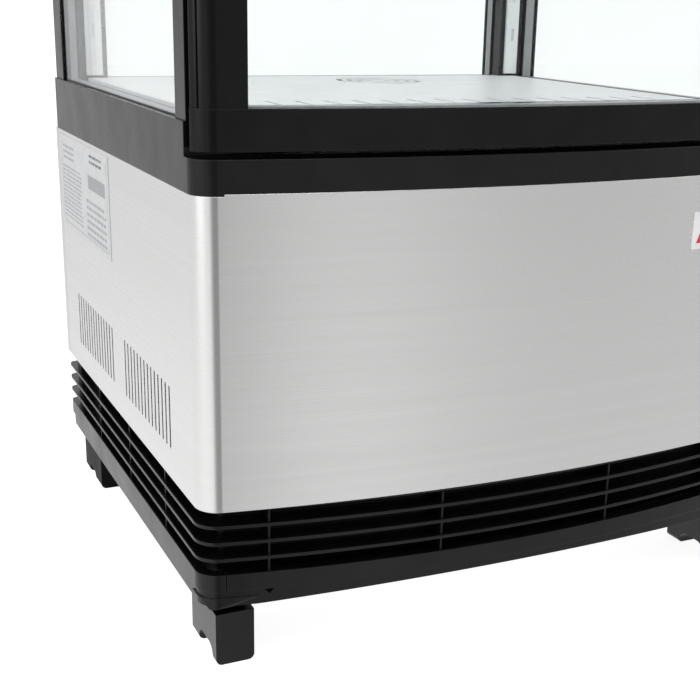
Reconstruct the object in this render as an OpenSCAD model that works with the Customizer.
// Countertop glass door merchandiser: a refrigerated display with a curved, hinged glass door.
// Frame: origin under the middle of the body, +X to the right, +Y to the back, +Z up.

/* [Body] */
// Width over the body panels
body_w = 424; // [420:1:428]
// Depth from the middle of the bowed front to the back
body_d = 386; // [382:1:390]
// Overall height
body_h = 960; // [940:1:980]
// How far the middle of the front stands proud of its corners
bow = 20; // [18:1:22]
// The same for the base, whose corners stand further back
base_bow = 24; // [22:1:26]
// Radius of the rounded front corners
corner_r = 15; // [14:0.5:16]
// How much wider the canopy is than the body, on each side
canopy_lip = 2; // [1:0.5:3]

/* [Levels] */
// Underside of the base rim above the counter
rim_z = 47; // [44:1:50]
// Height of the base rim
rim_h = 15.9; // [15:0.1:17]
// Pitch of the louvre fins
fin_pitch = 10.6; // [10:0.1:11]
// Height of the stainless panel
panel_h = 183; // [180:1:186]
// Height of the black band under the door
band_h = 19.5; // [18:0.5:21]
// Height of the canopy above the door
canopy_h = 96; // [90:1:100]

/* [Door] */
// Gap over and under the door
door_gap = 4; // [3.5:0.5:4.5]
// Height of the door's rails
rail_h = 22.5; // [20:0.5:25]
// Width of the door's stiles
stile_w = 29; // [27:1:31]
// Clear space between the door's back and the posts, which the gasket fills
seal_gap = 4.5; // [4:0.5:5]
// Radius of the hinge pins
pin_r = 3; // [2.5:0.5:3]
// Radial clearance between a hinge pin and its bush
pin_clearance = 0.05; // [0.03:0.01:0.09]

/* [Shelves] */
// Rise from one shelf to the next
shelf_pitch = 131; // [120:1:135]
// Number of wires across a shelf
wire_count = 17; // [13:2:21]

/* [Vents] */
// Slits in one group on the side
slit_count = 14; // [10:1:16]
// Pitch of the slits
slit_pitch = 8.3; // [7:0.1:8.5]

/* [Hidden] */
$fn = 72;

// Outline of the body: a bowed front, straight sides and back
half_w = body_w / 2;
front_y = -body_d / 2;
back_y = body_d / 2;
function bow_radius(sag) = (half_w * half_w + sag * sag) / (2 * sag);
arc_r = bow_radius(bow);
arc_y = front_y + arc_r;
rear_y = back_y - 3;
back_r = 6;
far = 600;

// Levels
rim_top = rim_z + rim_h;
fin_t = 2;
skirt_top = rim_top + 4 * fin_pitch - 0.3;
panel_top = skirt_top + panel_h;
band_top = panel_top + band_h;
door_z0 = band_top + door_gap;
canopy_z = body_h - canopy_h;
door_z1 = canopy_z - door_gap;
sill_z = band_top + 18.5;
head_z = canopy_z - 18;

// Planes
seam_y = back_y - 11;
skin_t = 0.8;
lip_half = 196;
lip_rise = 1.2;
skirt_in = 0.2;
skirt_deep = 16;
lip_h = 5;
ledge_t = 3;
rim_low = rim_z - 5;
rim_arch_r = 3160;
door_back = front_y + bow + 13;
post_y0 = door_back + seal_gap;
post_y1 = post_y0 + 19.2;
post_in = half_w - 22;
post_out = half_w - 1.5;
rear_post_y = back_y - 31;
rear_post_x = half_w - 40;
glass_t = 4;
cavity_t = 8;
pack_t = 2 * glass_t + cavity_t;
glass_recess = 1.5;
pack_out = post_out - glass_recess;
bite = 8;

// Hinge, near the right corner and behind the rounded edge
hinge_x = half_w - 7.5;
hinge_y = door_back - 5;
bush_r = 4.5;
bracket_t = 2.5;

// Door glazing
door_lip = 1.5;
door_pane_t = 3.5;
door_cavity = 7.5;
door_pack = door_lip + 2 * door_pane_t + door_cavity;
door_bite = 6;
sight_x = half_w - stile_w;
stile_inset = 0.3;
rebate_w = 2.8;
rebate_d = 5;

// Interior
deck_z = sill_z + 1.5;
shelf_half = half_w - 30;
shelf_y0 = post_y0 + 15.5;
shelf_y1 = rear_post_y - 10;
frame_rod_r = 2.5;
wire_r = 1.5;
levels = [deck_z + shelf_pitch, deck_z + 2 * shelf_pitch, deck_z + 3 * shelf_pitch];

// Canopy
canopy_wall = 3;
cover_t = 3;
cover_screws = [[-200, -120], [200, -120], [-200, 170], [200, 170]];

// Screws
screw_r = 1.5;
rear_screw_r = 1.6;
head_r = 3.4;
head_h = 2;

// Feet
foot_w = 24.5;
foot_x = half_w - 10 - foot_w / 2;
foot_front_y = front_y + 27;
foot_front_d = 49;
foot_rear_y = back_y - 58;
foot_rear_d = 57;
split_z = 34.5;
boss_d = 15;

// Machine compartment
chassis_z = rim_z + 9;
chassis_t = 1.5;
floor_z = chassis_z + chassis_t;
comp = [110, -30];
comp_r = 70;
coil_x = -195;
coil_t = 45;
fan_y = -20;
fan_z = 136;
fan_r = 62;
shaft_r = 3;
well_x0 = -110;
well_x1 = 170;
well_y0 = 60;
well_y1 = 165;
well_z = 212;
well_wall = 12;
evap = [30, 112];
evap_fan_r = 36;
line_r = 3;

// Rear controls
control_x = -160;
controller_z = 245;
switch_z = 190;
inlet_z = 135;
button_xs = [-178, -160, -142];
button_r = 4;

// A wedge outside one rounded front corner, taken off the square corner
module corner_waste(inset, r, sag) {
    cx = half_w - inset - r;
    reach = bow_radius(sag) - inset - r;
    middle_y = front_y + bow_radius(sag);
    cy = middle_y - sqrt(reach * reach - cx * cx);
    out = [cx, cy - middle_y] / reach;
    k = 1.6 * r + 3;
    difference() {
        polygon([[cx, cy], [cx + k, cy], [cx + k, cy - k], [cx, cy] + k * out]);
        translate([cx, cy]) circle(r);
    }
}

// The body's outline, moved in by inset all round
module plan(inset = 0, r = corner_r, sag = bow) {
    difference() {
        intersection() {
            translate([0, front_y + bow_radius(sag)]) circle(bow_radius(sag) - inset, $fn = 720);
            translate([inset - half_w, front_y - 10]) square([2 * (half_w - inset), body_d + 10 - inset]);
        }
        corner_waste(inset, r, sag);
        mirror([1, 0]) corner_waste(inset, r, sag);
        for (s = [-1, 1]) back_waste(s * (half_w - inset), back_y - inset, s);
    }
}

// The waste outside one rounded back corner
module back_waste(x, y, side) {
    difference() {
        translate([side > 0 ? x - back_r : x - 3, y - back_r]) square(back_r + 3);
        translate([x - side * back_r, y - back_r]) circle(back_r);
    }
}

// The outline between two insets
module ring(outer, inner, sag = bow) {
    difference() {
        plan(outer, max(corner_r - outer, 6), sag);
        plan(inner, max(corner_r - inner, 6), sag);
    }
}

module base_ring(outer, inner) {
    ring(outer, inner, base_bow);
}

module slab(z0, z1) {
    translate([0, 0, z0]) linear_extrude(z1 - z0) children();
}

module box(lo, hi) {
    translate(lo) cube(hi - lo);
}

module both_sides() {
    children();
    mirror([1, 0, 0]) children();
}

// A rectangular frame in the XZ plane between y0 and y1
module frame_xz(x_out, x_in, z0, z1, width, y0, y1) {
    difference() {
        box([-x_out, y0, z0], [x_out, y1, z1]);
        box([-x_in, y0 - 1, z0 + width], [x_in, y1 + 1, z1 - width]);
    }
}

// A copper tube through axis-aligned points, with a small fitting at each bend
module tube(points) {
    for (i = [0 : len(points) - 2]) {
        run = points[i + 1] - points[i];
        translate(points[i]) rotate([0, acos(run.z / norm(run)), atan2(run.y, run.x)])
            cylinder(r = line_r, h = norm(run), $fn = 24);
    }
    for (i = [1 : len(points) - 2]) translate(points[i]) sphere(line_r + 0.8, $fn = 24);
}

// ---------- base ----------

module base_moulding() {
    color("#141414") difference() {
        union() {
            base_rim();
            skirt_fins();
            slab(rim_top, skirt_top - ledge_t) intersection() {
                base_ring(2, skirt_deep);
                skirt_ribs();
            }
            front_baffle();
            both_sides() {
                foot_pad(foot_front_y, foot_front_d);
                foot_pad(foot_rear_y, foot_rear_d);
                flared_boss();
                rear_boss();
            }
        }
        both_sides() rim_seam();
        both_sides() rim_notch();
        rim_arch();
    }
}

// The rim: a lower lip set back a little, a shelf for the chassis, and an upstand
module base_rim() {
    lip = skirt_in + 1.2;
    slab(rim_low, rim_z + lip_h) base_ring(lip, 7);
    slab(rim_z, rim_z + lip_h) base_ring(lip, 34);
    slab(rim_z + lip_h, chassis_z) base_ring(skirt_in, 46);
    slab(chassis_z, rim_top) base_ring(skirt_in, 8);
}

// Three louvre fins and the ledge under the steel
module skirt_fins() {
    for (i = [1 : 3]) {
        fin_top = rim_top + i * fin_pitch;
        slab(fin_top - fin_t, fin_top) base_ring(skirt_in, skirt_deep);
    }
    slab(skirt_top - ledge_t, skirt_top) base_ring(ledge_t, skirt_deep);
}

// Wall behind the front fins that keeps the machine out of sight
module front_baffle() {
    slab(floor_z, skirt_top) intersection() {
        base_ring(skirt_deep - 0.5, skirt_deep + 1.2);
        translate([-far, -far]) square([2 * far, far - 115]);
    }
}

// The rim's lower edge rises a little from the corners to the middle
module rim_arch() {
    translate([0, far / 2, rim_z - rim_arch_r]) rotate([90, 0, 0])
        cylinder(r = rim_arch_r, h = far, $fn = 720);
}

// Plan of the upright ribs that join the fins
module skirt_ribs() {
    rib_t = 1.2;
    for (x = [-171, -62, 62, 171]) translate([x - rib_t / 2, -far / 2]) square([rib_t, far]);
    for (y = [-90, 0, 90]) translate([-far / 2, y - rib_t / 2]) square([far, rib_t]);
    for (s = [-1, 1]) translate([s * (half_w - 12) - 6, back_y - 19]) square([12, 12]);
}

// Seat under the rim for the top of a foot
module foot_pad(y0, depth) {
    box([foot_x - foot_w / 2, y0, rim_low], [foot_x + foot_w / 2, y0 + depth, rim_z]);
}

// Stub that joins the front of a foot to the rim's corner, widening upwards
module flared_boss() {
    x0 = foot_x - foot_w / 2;
    x1 = foot_x + foot_w / 2;
    y1 = foot_front_y + boss_d;
    top = rim_z + 1;
    intersection() {
        translate([x0, 0, 0]) rotate([90, 0, 90]) linear_extrude(40)
            polygon([[foot_front_y, split_z], [y1, split_z], [y1, top], [foot_front_y - 10, top]]);
        translate([0, y1, 0]) rotate([90, 0, 0]) linear_extrude(40)
            polygon([[x0, split_z], [x1, split_z], [x1 + 10, top], [x0, top]]);
        slab(split_z, rim_z + 0.5) plan(skirt_in + 0.1, corner_r, base_bow);
    }
}

// Block that carries the rear of a foot up to the rim
module rear_boss() {
    x0 = foot_x - foot_w / 2;
    box([x0, foot_rear_y, split_z], [x0 + foot_w, foot_rear_y + boss_d, rim_z]);
}

// Moulding seam near the corner of the rim
module rim_seam() {
    translate([half_w - 15.6, front_y - 5, rim_z + lip_h]) cube([0.6, base_bow + 6, rim_h]);
}

// Small triangular catch hole in the rim's lower lip
module rim_notch() {
    half = 3.3;
    tip = 4;
    translate([half_w - 41, front_y + base_bow - 4, rim_z + lip_h]) rotate([90, 0, 0])
        linear_extrude(30) polygon([[-half, 0], [half, 0], [0, -tip]]);
}

// One foot between two toes, with an arched underside from arch_y0 to arch_y1
module foot(y0, depth, arch_y0, arch_y1, arch_h, arch_r) {
    color("#171717") intersection() {
        difference() {
            box([foot_x - foot_w / 2, y0, 0], [foot_x + foot_w / 2, y0 + depth, rim_low]);
            box([0, y0 - 1, split_z], [far, y0 + boss_d, rim_low + 1]);
            box([0, y0 + arch_y0, -1], [far, y0 + arch_y1, arch_h - arch_r]);
            box([0, y0 + arch_y0 + arch_r, -1], [far, y0 + arch_y1 - arch_r, arch_h]);
            for (y = [arch_y0 + arch_r, arch_y1 - arch_r])
                translate([foot_x, y0 + y, arch_h - arch_r]) rotate([0, 90, 0])
                    cylinder(r = arch_r, h = 2 * foot_w, center = true, $fn = 48);
        }
        foot_face(y0);
    }
}

// Front view of a foot: a rectangle with rounded bottom corners
module foot_face(y0) {
    r = 4;
    translate([foot_x, y0 - 20, 0]) rotate([-90, 0, 0]) linear_extrude(100) mirror([0, 1]) union() {
        translate([-foot_w / 2, r]) square([foot_w, rim_z]);
        translate([r - foot_w / 2, 0]) square([foot_w - 2 * r, rim_z]);
        for (s = [-1, 1]) translate([s * (foot_w / 2 - r), r]) circle(r, $fn = 32);
    }
}

module front_foot() { foot(foot_front_y, foot_front_d, 7, 35, 10, 8); }
module rear_foot() { foot(foot_rear_y, foot_rear_d, 21, 43, 7, 5); }
module foot_front_right() { front_foot(); }
module foot_front_left() { mirror([1, 0, 0]) front_foot(); }
module foot_rear_right() { rear_foot(); }
module foot_rear_left() { mirror([1, 0, 0]) rear_foot(); }

// ---------- machine compartment ----------

module chassis_plate() {
    color("#9aa0a3") slab(chassis_z, floor_z) plan(8.5, 8, base_bow);
}

module compressor() {
    cap_h = 30;
    cap_r = (comp_r * comp_r + cap_h * cap_h) / (2 * cap_h);
    shell_z = floor_z + 20;
    shell_h = 100;
    color("#1c1c1e") translate([comp.x, comp.y, 0]) {
        translate([0, 0, shell_z]) cylinder(r = comp_r, h = shell_h);
        translate([0, 0, shell_z + 46]) cylinder(r = comp_r + 3, h = 6);
        intersection() {
            translate([0, 0, shell_z + shell_h + cap_h - cap_r]) sphere(cap_r);
            translate([0, 0, shell_z + shell_h]) cylinder(r = comp_r, h = cap_h + 5);
        }
        box([-75, -62, shell_z - 3], [75, 62, shell_z]);
        box([-18, -comp_r - 16, shell_z + 56], [18, -50, shell_z + 96]);
    }
}

module compressor_grommets() {
    color("#222222") for (x = [-64, 64], y = [-52, 52])
        translate([comp.x + x, comp.y + y, floor_z]) {
            cylinder(r = 9, h = 6, $fn = 36);
            cylinder(r = 7, h = 17, $fn = 36);
        }
}

module condenser_coil() {
    fin_gap = 6;
    color("#b8bcc0") {
        box([coil_x, fan_y - 90, floor_z], [coil_x + coil_t, fan_y - 88, fan_z + 70]);
        box([coil_x, fan_y + 88, floor_z], [coil_x + coil_t, fan_y + 90, fan_z + 70]);
        box([coil_x + 3, fan_y - 88, floor_z + 8], [coil_x + coil_t - 3, fan_y + 88, fan_z + 66]);
        for (y = [fan_y - 84 : fin_gap : fan_y + 84])
            box([coil_x + 1, y - 0.4, floor_z + 4], [coil_x + coil_t - 1, y + 0.4, fan_z + 69]);
    }
}

module condenser_shroud() {
    x0 = coil_x + coil_t;
    color("#2a2a2a") difference() {
        union() {
            box([x0, fan_y - 90, floor_z], [x0 + 2, fan_y + 90, fan_z + 70]);
            translate([x0, fan_y, fan_z]) rotate([0, 90, 0]) cylinder(r = fan_r + 6, h = 22);
        }
        translate([x0 - 1, fan_y, fan_z]) rotate([0, 90, 0]) cylinder(r = fan_r + 4, h = 30);
    }
}

module condenser_fan_motor() {
    x0 = coil_x + coil_t + 38;
    color("#33363a") difference() {
        union() {
            translate([x0, fan_y, fan_z]) rotate([0, 90, 0]) cylinder(r = 24, h = 38);
            box([x0 + 12, fan_y - 18, floor_z], [x0 + 16, fan_y + 18, fan_z - 12]);
            box([x0 + 2, fan_y - 18, floor_z], [x0 + 30, fan_y + 18, floor_z + 3]);
        }
        translate([x0 - 1, fan_y, fan_z]) rotate([0, 90, 0]) cylinder(r = shaft_r + 0.05, h = 24, $fn = 36);
    }
}

// Fan with pitched blades about +X, its hub's near face at x0
module condenser_fan() {
    x0 = coil_x + coil_t + 6;
    color("#d4d6d8") translate([x0, fan_y, fan_z]) rotate([0, 90, 0]) fan(fan_r, 16, 20, shaft_r, 50);
}

// Blades, hub and shaft about +Z, the hub from 0 to hub_h and the shaft up to shaft_h
module fan(r, hub_r, hub_h, rod_r, shaft_h) {
    cylinder(r = hub_r, h = hub_h, $fn = 48);
    cylinder(r = rod_r, h = shaft_h, $fn = 36);
    for (i = [0 : 4]) rotate([0, 0, 72 * i]) translate([hub_r - 3, 0, hub_h / 2]) rotate([35, 0, 0])
        intersection() {
            translate([0, -r * 0.32, -0.8]) cube([r - hub_r + 3, r * 0.64, 1.6]);
            rotate([-35, 0, 0]) translate([3 - hub_r, 0, -hub_h]) cylinder(r = r, h = 2 * hub_h);
        }
}

module refrigerant_lines() {
    color("#b87443") {
        tube([[comp.x - comp_r + 2, comp.y, 150], [10, comp.y, 150], [10, comp.y, 222],
            [coil_x + coil_t / 2, comp.y, 222], [coil_x + coil_t / 2, comp.y, fan_z + 66]]);
        tube([[coil_x + coil_t + 2, fan_y + 80, 100], [-30, fan_y + 80, 100], [-30, fan_y + 80, 190],
            [-30, evap.y, 190], [-30, evap.y, 230]]);
        translate([-30, fan_y + 80, 112]) cylinder(r = 9, h = 60, $fn = 36);
        tube([[70, evap.y, 230], [70, evap.y, 198], [70, 54, 198], [70, 54, 150], [comp.x, 54, 150],
            [comp.x, comp.y + comp_r - 2, 150]]);
    }
}

module control_box() {
    color("#8f9498") difference() {
        box([-195, 92, floor_z], [-128, 148, floor_z + 46]);
        box([-196, 106, floor_z + 20], [-187, 134, floor_z + 30]);
    }
}

module drain_pan() {
    color("#202124") difference() {
        box([-60, 72, floor_z], [168, 156, floor_z + 26]);
        box([-57, 75, floor_z + 3], [165, 153, floor_z + 27]);
    }
}

// ---------- skin ----------

module body_panel() {
    fold = 10;
    flange_x = half_w - 13;
    slit_half = 1.4;
    color("#c9cacb") difference() {
        intersection() {
            union() {
                slab(skirt_top, panel_top) ring(0, skin_t);
                slab(skirt_top, skirt_top + skin_t) ring(0, fold);
                slab(panel_top - skin_t, panel_top) ring(0, fold);
                slab(panel_top - 1, panel_top + lip_rise - 0.05) intersection() {
                    ring(0, skin_t);
                    translate([-lip_half, -far]) square([2 * lip_half, far + front_y + bow]);
                }
                both_sides()
                    box([flange_x, seam_y - skin_t, skirt_top], [half_w - skin_t / 2, seam_y, panel_top]);
            }
            box([-far, -far, 0], [far, seam_y, body_h]);
        }
        rear_screws(rear_screw_r);
        for (start = [-113, 31], i = [0 : slit_count - 1]) {
            y = start + i * slit_pitch;
            box([-far, y - slit_half, skirt_top + 20], [far, y + slit_half, skirt_top + 60]);
        }
    }
}

module rear_panel() {
    louvre_w = 68;
    louvre_h = 5;
    color("#b9bbbd") difference() {
        union() {
            box([skin_t - half_w, rear_y - 1, skirt_top], [half_w - skin_t, rear_y, panel_top]);
            both_sides() box([half_w - skin_t, seam_y, skirt_top], [half_w, back_y, panel_top]);
        }
        for (x = [-85, -5, 75], z = [skirt_top + 16 : 12 : skirt_top + 160])
            box([x, rear_y - 5, z], [x + louvre_w, rear_y + 5, z + louvre_h]);
        control_block(36, rear_y - 5, rear_y + 5, controller_z, 14);
        control_block(12, rear_y - 5, rear_y + 5, switch_z, 9);
        control_block(15, rear_y - 5, rear_y + 5, inlet_z, 11);
        rear_screws(rear_screw_r);
    }
}

module badge() {
    color("#f2f2f2") slab(panel_top - 46, panel_top - 22) intersection() {
        ring(-1, 0);
        translate([112, front_y - 5]) square([80, 60]);
    }
}

module rating_label() {
    color("#eeeeea") box([-half_w - 0.3, 22, panel_top - 74], [-half_w, 179, panel_top - 3]);
}

// ---------- rear controls ----------

module power_inlet() {
    color("#1a1a1a") {
        difference() {
            union() {
                control_block(24, rear_y, rear_y + 2, inlet_z, 14);
                control_block(15, rear_y - 26, rear_y, inlet_z, 11);
            }
            control_block(12, rear_y - 18, rear_y + 3, inlet_z, 8);
        }
        for (x = [-7, 0, 7]) translate([control_x + x, 0, x == 0 ? inlet_z + 2 : inlet_z - 2])
            box([-1, rear_y - 19, -2], [1, rear_y - 4, 2]);
    }
}

// A block behind and in front of the rear panel, centred on the controls' column
module control_block(half, y0, y1, z, rise) {
    box([control_x - half, y0, z - rise], [control_x + half, y1, z + rise]);
}

module controller() {
    color("#1d1d1f") difference() {
        union() {
            control_block(40, rear_y, rear_y + 2, controller_z, 18);
            control_block(36, rear_y - 50, rear_y, controller_z, 14);
        }
        control_block(20, rear_y + 1.2, rear_y + 3, controller_z + 5.5, 7.5);
        for (x = button_xs) button_rod(x, rear_y - 6, button_r + 0.08, 12);
    }
}

// A rod along +Y at a button's place
module button_rod(x, y, r, h) {
    translate([x, y, controller_z - 9]) rotate([-90, 0, 0]) cylinder(r = r, h = h, $fn = 36);
}

// A round push button that travels into the controller
module push_button(x) {
    color("#d8d8d8") button_rod(x, rear_y - 3.5, button_r, 6.3);
}

module button_set() { push_button(button_xs[0]); }
module button_up() { push_button(button_xs[1]); }
module button_down() { push_button(button_xs[2]); }

module switch_housing() {
    color("#1a1a1a") difference() {
        union() {
            control_block(15, rear_y, rear_y + 1.2, switch_z, 11);
            control_block(12, rear_y - 20, rear_y, switch_z, 9);
        }
        control_block(10.5, rear_y - 9, rear_y + 2, switch_z, 7);
        translate([control_x, rear_y - 4, switch_z]) cylinder(r = 1.25, h = 17, center = true, $fn = 24);
    }
}

// Rocker on a pin about Z, its face bent in the middle so that one end stands out
module lamp_rocker() {
    color("#262626") translate([control_x, rear_y - 4, switch_z]) {
        translate([0, 0, -6.7]) linear_extrude(13.4)
            polygon([[-7.6, -1.5], [7.6, -1.5], [8.7, 4.2], [0, 4.9], [-8.7, 6.3]]);
        cylinder(r = 1.2, h = 16.5, center = true, $fn = 24);
    }
}

// ---------- cabinet ----------

module rect_ring(x_out, y0, y1, x_in, iy0, iy1) {
    difference() {
        translate([-x_out, y0]) square([2 * x_out, y1 - y0]);
        translate([-x_in, iy0]) square([2 * x_in, iy1 - iy0]);
        for (s = [-1, 1]) back_waste(s * x_out, y1, s);
    }
}

// The ring above and below the posts and panes
module cabinet_ring() {
    rect_ring(half_w, post_y0, back_y, post_in, post_y1, rear_y - pack_t - 1.5);
}

// Grooves for the three sealed panes, which run bite deep into the frames round them
module pane_grooves() {
    both_sides() side_pack();
    rear_pack();
}

module side_pack() {
    box([pack_out - pack_t, post_y1 - bite, sill_z - bite], [pack_out, rear_post_y + bite, head_z + bite]);
}

module rear_pack() {
    box([-rear_post_x - bite, rear_y - pack_t, sill_z - bite], [rear_post_x + bite, rear_y, head_z + bite]);
}

module deck_frame() {
    color("#161616") difference() {
        union() {
            slab(panel_top, band_top) ring(0, 22);
            slab(band_top, sill_z) cabinet_ring();
        }
        pane_grooves();
        bracket_plate(band_top - bracket_t);
        difference() {
            box([-lip_half, -far, panel_top - 1], [lip_half, front_y + bow, panel_top + lip_rise]);
            slab(0, body_h) plan(1, corner_r - 1);
        }
        hinge_pin(panel_top + 6, panel_top + 36);
        bracket_screws(screw_r);
    }
}

module floor_tub() {
    z0 = panel_top + 0.5;
    z1 = sill_z - 4;
    color("#e9e9e6") difference() {
        union() {
            box([-post_in, post_y1, z0], [post_in, rear_y - pack_t - 1.5, z1]);
            box([well_x0, well_y0, well_z], [well_x1, well_y1, z0]);
        }
        box([well_x0 + well_wall, well_y0 + well_wall, well_z + well_wall],
            [well_x1 - well_wall, well_y1 - well_wall, z1 + 1]);
        for (x = [-30, 70]) translate([x, evap.y, well_z - 1]) cylinder(r = line_r + 0.2, h = 20, $fn = 36);
        difference() {
            box([-post_in - 1, post_y1 - 1, 0], [post_in + 1, back_y, band_top]);
            slab(0, body_h) plan(22.1, 6);
            box([well_x0, well_y0, 0], [well_x1, well_y1, body_h]);
        }
    }
}

module deck_plate() {
    x1 = post_in - 3;
    y0 = post_y1 + 2;
    y1 = rear_y - pack_t - 4;
    under = deck_z - 1.5;
    flange = 2;
    color("#dcdcda") difference() {
        union() {
            box([-x1, y0, under], [x1, y1, deck_z]);
            for (x = [-x1, x1 - flange]) box([x, y0, sill_z - 4], [x + flange, y1, under]);
            for (y = [y0, y1 - flange]) box([-x1, y, sill_z - 4], [x1, y + flange, under]);
        }
        both_sides() box([rear_post_x - 1, rear_post_y - 1, sill_z - 5], [half_w, back_y, deck_z + 1]);
        for (x = [-150 : 20 : 150]) box([x - 2, -100, deck_z - 3], [x + 2, -60, deck_z + 1]);
        difference() {
            for (r = [10, 18, 26, 34]) translate([evap.x, evap.y, deck_z - 3]) difference() {
                cylinder(r = r, h = 5);
                translate([0, 0, -1]) cylinder(r = r - 4.5, h = 7);
            }
            translate([evap.x, evap.y, deck_z]) for (a = [45, 135])
                rotate([0, 0, a]) cube([80, 3, 12], center = true);
        }
    }
}

module evaporator_coil() {
    color("#b8bcc0") {
        box([evap.x - 100, 80, 230], [evap.x - 98, 145, 268]);
        box([evap.x + 98, 80, 230], [evap.x + 100, 145, 268]);
        box([evap.x - 98, 83, 230], [evap.x + 98, 142, 262]);
        for (x = [-95 : 8 : 95]) box([evap.x + x - 0.4, 81, 232], [evap.x + x + 0.4, 144, 266]);
    }
}

module evaporator_fan_motor() {
    color("#33363a") translate([evap.x, evap.y, 0]) difference() {
        union() {
            translate([0, 0, 272]) cylinder(r = 20, h = 22);
            box([-6, well_y0 + well_wall - evap.y, 276], [6, well_y1 - well_wall - evap.y, 279]);
        }
        translate([0, 0, 280]) cylinder(r = 2.55, h = 20, $fn = 36);
    }
}

module evaporator_fan() {
    color("#d4d6d8") translate([evap.x, evap.y, 314]) mirror([0, 0, 1]) fan(evap_fan_r, 12, 15, 2.5, 33);
}

module front_posts() {
    color("#161616") both_sides() difference() {
        box([post_in, post_y0, sill_z], [post_out, post_y1, head_z]);
        pane_grooves();
    }
}

module rear_posts() {
    color("#161616") both_sides() difference() {
        slab(sill_z, head_z) difference() {
            translate([rear_post_x, rear_post_y]) square([post_out - rear_post_x, back_y - rear_post_y]);
            back_waste(post_out, back_y, 1);
        }
        pane_grooves();
    }
}

// Two panes of one side window
module side_glass() {
    color("#cfdcd8", 0.4) for (x = [pack_out - pack_t, pack_out - glass_t])
        box([x, post_y1 - bite, sill_z - bite], [x + glass_t, rear_post_y + bite, head_z + bite]);
}

module side_glass_right() { side_glass(); }
module side_glass_left() { mirror([1, 0, 0]) side_glass(); }

module rear_glass() {
    color("#cfdcd8", 0.4) for (y = [rear_y - pack_t, rear_y - glass_t])
        box([-rear_post_x - bite, y, sill_z - bite], [rear_post_x + bite, y + glass_t, head_z + bite]);
}

module glazing_spacers() {
    color("#8d9092") {
        both_sides() difference() {
            box([pack_out - pack_t + glass_t, post_y1 - bite, sill_z - bite],
                [pack_out - glass_t, rear_post_y + bite, head_z + bite]);
            box([0, post_y1 + 1, sill_z + 1], [far, rear_post_y - 1, head_z - 1]);
        }
        difference() {
            box([-rear_post_x - bite, rear_y - pack_t + glass_t, sill_z - bite],
                [rear_post_x + bite, rear_y - glass_t, head_z + bite]);
            box([1 - rear_post_x, 0, sill_z + 1], [rear_post_x - 1, far, head_z - 1]);
        }
    }
}

module shelf_pilasters() {
    color("#ececea") both_sides() difference() {
        union() {
            box([post_in - 2.5, post_y1 - 9, deck_z + 2], [post_in, post_y1 - 0.5, head_z - 1]);
            box([rear_post_x + 4, rear_post_y - 2.5, deck_z + 2],
                [rear_post_x + 16, rear_post_y, head_z - 1]);
        }
        for (z = [deck_z + 30 : 32.75 : head_z - 20]) {
            box([post_in - 5, post_y1 - 6, z], [post_in - 1, post_y1 - 3.5, z + 10]);
            box([rear_post_x + 8.5, rear_post_y - 5, z], [rear_post_x + 11.5, rear_post_y - 1, z + 10]);
        }
    }
}

module shelf_clips() {
    color("#d9dadb") both_sides() for (z = levels) {
        box([post_in - 11, post_y1 - 8, z - 6.5], [post_in - 2.5, post_y1 - 1.5, z - frame_rod_r]);
        box([post_in - 5, post_y1 - 8, z - 14], [post_in - 2.5, post_y1 - 1.5, z - 6.5]);
        box([rear_post_x + 5, shelf_y1 - 3, z - 6.5], [rear_post_x + 15, rear_post_y - 2.5, z - frame_rod_r]);
        box([rear_post_x + 5, rear_post_y - 5, z - 14], [rear_post_x + 15, rear_post_y - 2.5, z - 6.5]);
    }
}

// Wire shelf: a rod frame with a middle rod and wires from front to back welded on top
module shelf(z) {
    pitch = 2 * (shelf_half - 8) / (wire_count - 1);
    color("#d5d8da") translate([0, 0, z]) {
        for (y = [shelf_y0, (shelf_y0 + shelf_y1) / 2, shelf_y1])
            translate([-shelf_half, y, 0]) rotate([0, 90, 0])
                cylinder(r = frame_rod_r, h = 2 * shelf_half, $fn = 24);
        for (s = [-1, 1]) translate([s * (shelf_half - 2.5), shelf_y0 - 3, 0.4]) rotate([-90, 0, 0])
            cylinder(r = frame_rod_r, h = shelf_y1 - shelf_y0 + 6, $fn = 24);
        for (i = [0 : wire_count - 1]) translate([(i - (wire_count - 1) / 2) * pitch, shelf_y0 - 3, 3.4])
            rotate([-90, 0, 0]) cylinder(r = wire_r, h = shelf_y1 - shelf_y0 + 6, $fn = 16);
    }
}

module shelf_lower() { shelf(levels[0]); }
module shelf_middle() { shelf(levels[1]); }
module shelf_upper() { shelf(levels[2]); }

module light_strips() {
    color("#fbfbf4") both_sides() slab(deck_z + 4, head_z - 4)
        polygon([[post_in, post_y0 + 0.3], [post_in - 11, post_y0 + 0.3], [post_in, post_y0 + 9.5]]);
}

module top_frame() {
    color("#161616") difference() {
        slab(head_z, canopy_z) cabinet_ring();
        pane_grooves();
        bracket_plate(canopy_z - bracket_t);
        bracket_screws(screw_r);
    }
}

module ceiling_panel() {
    color("#ececea") box([-post_in, post_y1, head_z + 6], [post_in, rear_y - pack_t - 1.5, canopy_z + 26]);
}

// ---------- canopy ----------

// Outline of the canopy: wider than the body, with the same front and back
module canopy_plan(inset) {
    intersection() {
        translate([0, canopy_lip]) plan(inset - canopy_lip, max(corner_r + canopy_lip - inset, 5));
        translate([-far / 2, -far / 2]) square([far, far / 2 + back_y - inset]);
    }
}

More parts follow.
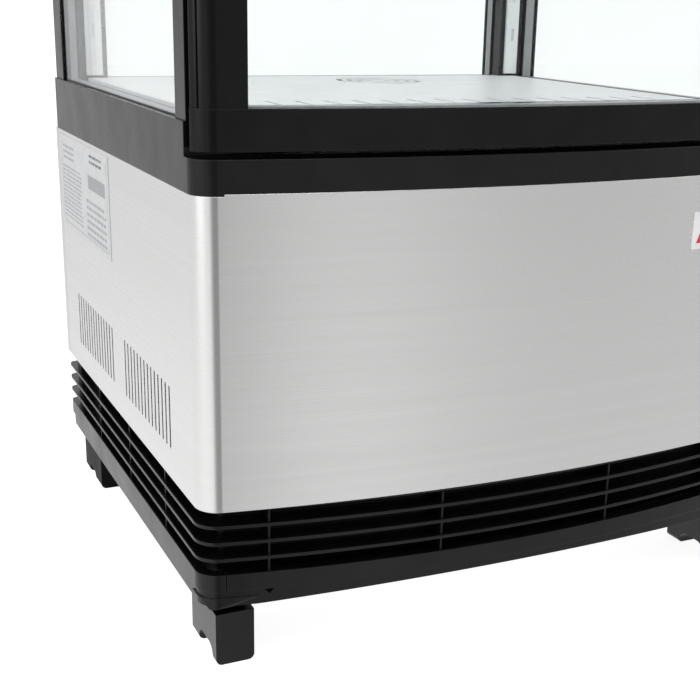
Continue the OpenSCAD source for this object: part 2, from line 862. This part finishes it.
module canopy() {
    window_x = half_w - 18;
    color("#141414") difference() {
        slab(canopy_z, body_h - cover_t) canopy_plan(0);
        slab(canopy_z + canopy_wall, body_h) canopy_plan(canopy_wall);
        box([-post_in - 0.5, post_y1 - 0.5, canopy_z - 1],
            [post_in + 0.5, rear_y - pack_t - 1, canopy_z + 10]);
        box([-window_x, -far, canopy_z + 17], [window_x, -100, body_h - 17]);
    }
    color("#141414") difference() {
        for (p = cover_screws) translate([p.x, p.y, canopy_z + canopy_wall])
            cylinder(r = 5.5, h = body_h - cover_t - canopy_z - canopy_wall, $fn = 36);
        lid_screws(screw_r);
    }
}

module top_cover() {
    color("#121212") difference() {
        slab(body_h - cover_t, body_h) canopy_plan(0.4);
        lid_screws(screw_r);
        for (p = cover_screws) translate([p.x, p.y, body_h - head_h]) cylinder(r = head_r, h = 5, $fn = 36);
    }
}

module sign_lens() {
    lens_x = half_w - 13;
    color("#f6f6f2") slab(canopy_z + 8, body_h - 8) intersection() {
        difference() {
            canopy_plan(canopy_wall);
            canopy_plan(canopy_wall + 2.5);
        }
        translate([-lens_x, front_y - 5]) square([2 * lens_x, 40]);
    }
}

module sign_lamp() {
    z = (canopy_z + body_h) / 2;
    color("#fdfdf6") {
        translate([-165, -157, z]) rotate([0, 90, 0]) cylinder(r = 8, h = 330, $fn = 36);
        for (x = [-173, 165]) box([x, -167, canopy_z + canopy_wall], [x + 8, -140, z + 10]);
    }
}

// ---------- door ----------

// Outline of the door, with a rebate along the back of its outer edges
module door_plan(inset) {
    difference() {
        intersection() {
            plan(inset);
            translate([-far / 2, -far]) square([far, far + door_back]);
        }
        for (x = [-far, half_w - rebate_w])
            translate([x, door_back - rebate_d]) square([far - half_w + rebate_w, far]);
    }
}

// A layer of the door's glazing that follows the bow, from one inset to another
module glazing_layer(outer, inner) {
    slab(door_z0 + rail_h - door_bite, door_z1 - rail_h + door_bite) intersection() {
        translate([0, arc_y]) difference() {
            circle(arc_r - outer, $fn = 720);
            circle(arc_r - inner, $fn = 720);
        }
        translate([-sight_x - door_bite, -far]) square([2 * (sight_x + door_bite), far + door_back]);
    }
}

module door_member(z0, z1, inset = 0) {
    difference() {
        slab(z0, z1) door_plan(inset);
        glazing_layer(door_lip, door_pack);
    }
}

module bush_hole(z0, z1) {
    translate([hinge_x, hinge_y, z0]) cylinder(r = bush_r, h = z1 - z0, $fn = 48);
}

module door_bottom_rail() {
    color("#101010") difference() {
        door_member(door_z0, door_z0 + rail_h);
        bush_hole(door_z0 - 1, door_z0 + 14.5);
    }
}

module door_top_rail() {
    color("#101010") difference() {
        door_member(door_z1 - rail_h, door_z1);
        bush_hole(door_z1 - 14.5, door_z1 + 1);
    }
}

module door_stile_right() {
    color("#101010") intersection() {
        door_member(door_z0 + rail_h, door_z1 - rail_h, stile_inset);
        box([sight_x, -far, 0], [far, far, body_h]);
    }
}

// The left stile, with a pocket for the fingers behind its rounded edge
module door_stile_left() {
    color("#101010") difference() {
        intersection() {
            door_member(door_z0 + rail_h, door_z1 - rail_h, stile_inset);
            box([-far, -far, 0], [-sight_x, far, body_h]);
        }
        box([-far, door_back - 8.5, 490], [20 - half_w, door_back + 1, 680]);
        box([3.7 - half_w, -far, 0], [4.3 - half_w, door_back - 8.6, body_h]);
    }
}

module door_glass() {
    color("#cfdcd8", 0.4) {
        glazing_layer(door_lip, door_lip + door_pane_t);
        glazing_layer(door_pack - door_pane_t, door_pack);
    }
}

module door_spacer() {
    color("#8d9092") difference() {
        glazing_layer(door_lip + door_pane_t, door_pack - door_pane_t);
        box([1 - sight_x, -far, door_z0 + rail_h + 1], [sight_x - 1, far, door_z1 - rail_h - 1]);
    }
}

module door_gasket() {
    width = 11;
    color("#0c0c0c") frame_xz(post_in + width, post_in, door_z0 + 2.5, door_z1 - 2.5, width, door_back,
        door_back + seal_gap - 0.3);
}

// Hinge bracket: a plate let into the frame, reaching forward under or over the door's corner
module bracket_plate(z) {
    slab(z, z + bracket_t) intersection() {
        plan(2, corner_r - 2);
        translate([hinge_x - 44, hinge_y - 8]) square([60, 26]);
    }
}

module hinge_pin(z0, z1) {
    translate([hinge_x, hinge_y, z0]) cylinder(r = pin_r, h = z1 - z0, $fn = 36);
}

module hinge_brackets() {
    color("#a9acb0") {
        difference() {
            union() {
                bracket_plate(band_top - bracket_t);
                bracket_plate(canopy_z - bracket_t);
            }
            bracket_screws(screw_r);
        }
        hinge_pin(panel_top + 6, door_z0 + 13);
        hinge_pin(door_z1 - 13, canopy_z);
    }
}

module hinge_bushes() {
    color("#e8e6df") difference() {
        translate([hinge_x, hinge_y, 0]) {
            translate([0, 0, band_top + 0.3]) cylinder(r = 5.8, h = door_gap - 0.3, $fn = 48);
            translate([0, 0, door_z0]) cylinder(r = bush_r, h = 13.5, $fn = 48);
            translate([0, 0, door_z1 - 13.5]) cylinder(r = bush_r, h = 13.5, $fn = 48);
            translate([0, 0, door_z1]) cylinder(r = 5.8, h = door_gap - bracket_t - 0.3, $fn = 48);
        }
        translate([hinge_x, hinge_y, 0]) cylinder(r = pin_r + pin_clearance, h = body_h, $fn = 48);
    }
}

// ---------- screws ----------

// Shanks of the screws that hold the rear panel to the body panel's folded edges
module rear_screws(r) {
    rear_rods(r, rear_y, 12);
}

module rear_rods(r, y, h) {
    both_sides() for (z = [skirt_top + 12, (skirt_top + panel_top) / 2, panel_top - 12])
        translate([half_w - 7, y, z]) rotate([90, 0, 0]) cylinder(r = r, h = h, $fn = 24);
}

// Shanks of the screws through the hinge brackets, down into the deck frame and down through the top frame
module bracket_screws(r) {
    for (x = [hinge_x - 36, hinge_x - 20], z = [band_top, canopy_z])
        translate([x, post_y0 + 5, z - 12]) cylinder(r = r, h = 12, $fn = 24);
}

module lid_screws(r) {
    for (p = cover_screws) translate([p.x, p.y, body_h - 16]) cylinder(r = r, h = 16 - head_h, $fn = 24);
}

module screws() {
    color("#9c9fa2") {
        rear_screws(rear_screw_r);
        rear_rods(head_r, rear_y + head_h, head_h);
        bracket_screws(screw_r);
        lid_screws(screw_r);
        for (p = cover_screws)
            translate([p.x, p.y, body_h - head_h]) cylinder(r = head_r, h = head_h - 0.2, $fn = 24);
    }
}

base_moulding();
foot_front_left();
foot_front_right();
foot_rear_left();
foot_rear_right();
chassis_plate();
compressor();
compressor_grommets();
condenser_coil();
condenser_shroud();
condenser_fan_motor();
condenser_fan();
refrigerant_lines();
control_box();
drain_pan();
body_panel();
rear_panel();
badge();
rating_label();
power_inlet();
controller();
button_set();
button_up();
button_down();
switch_housing();
lamp_rocker();
deck_frame();
floor_tub();
deck_plate();
evaporator_coil();
evaporator_fan_motor();
evaporator_fan();
front_posts();
rear_posts();
side_glass_left();
side_glass_right();
rear_glass();
glazing_spacers();
shelf_pilasters();
shelf_clips();
shelf_lower();
shelf_middle();
shelf_upper();
light_strips();
top_frame();
ceiling_panel();
canopy();
top_cover();
sign_lens();
sign_lamp();
door_bottom_rail();
door_top_rail();
door_stile_left();
door_stile_right();
door_glass();
door_spacer();
door_gasket();
hinge_brackets();
hinge_bushes();
screws();
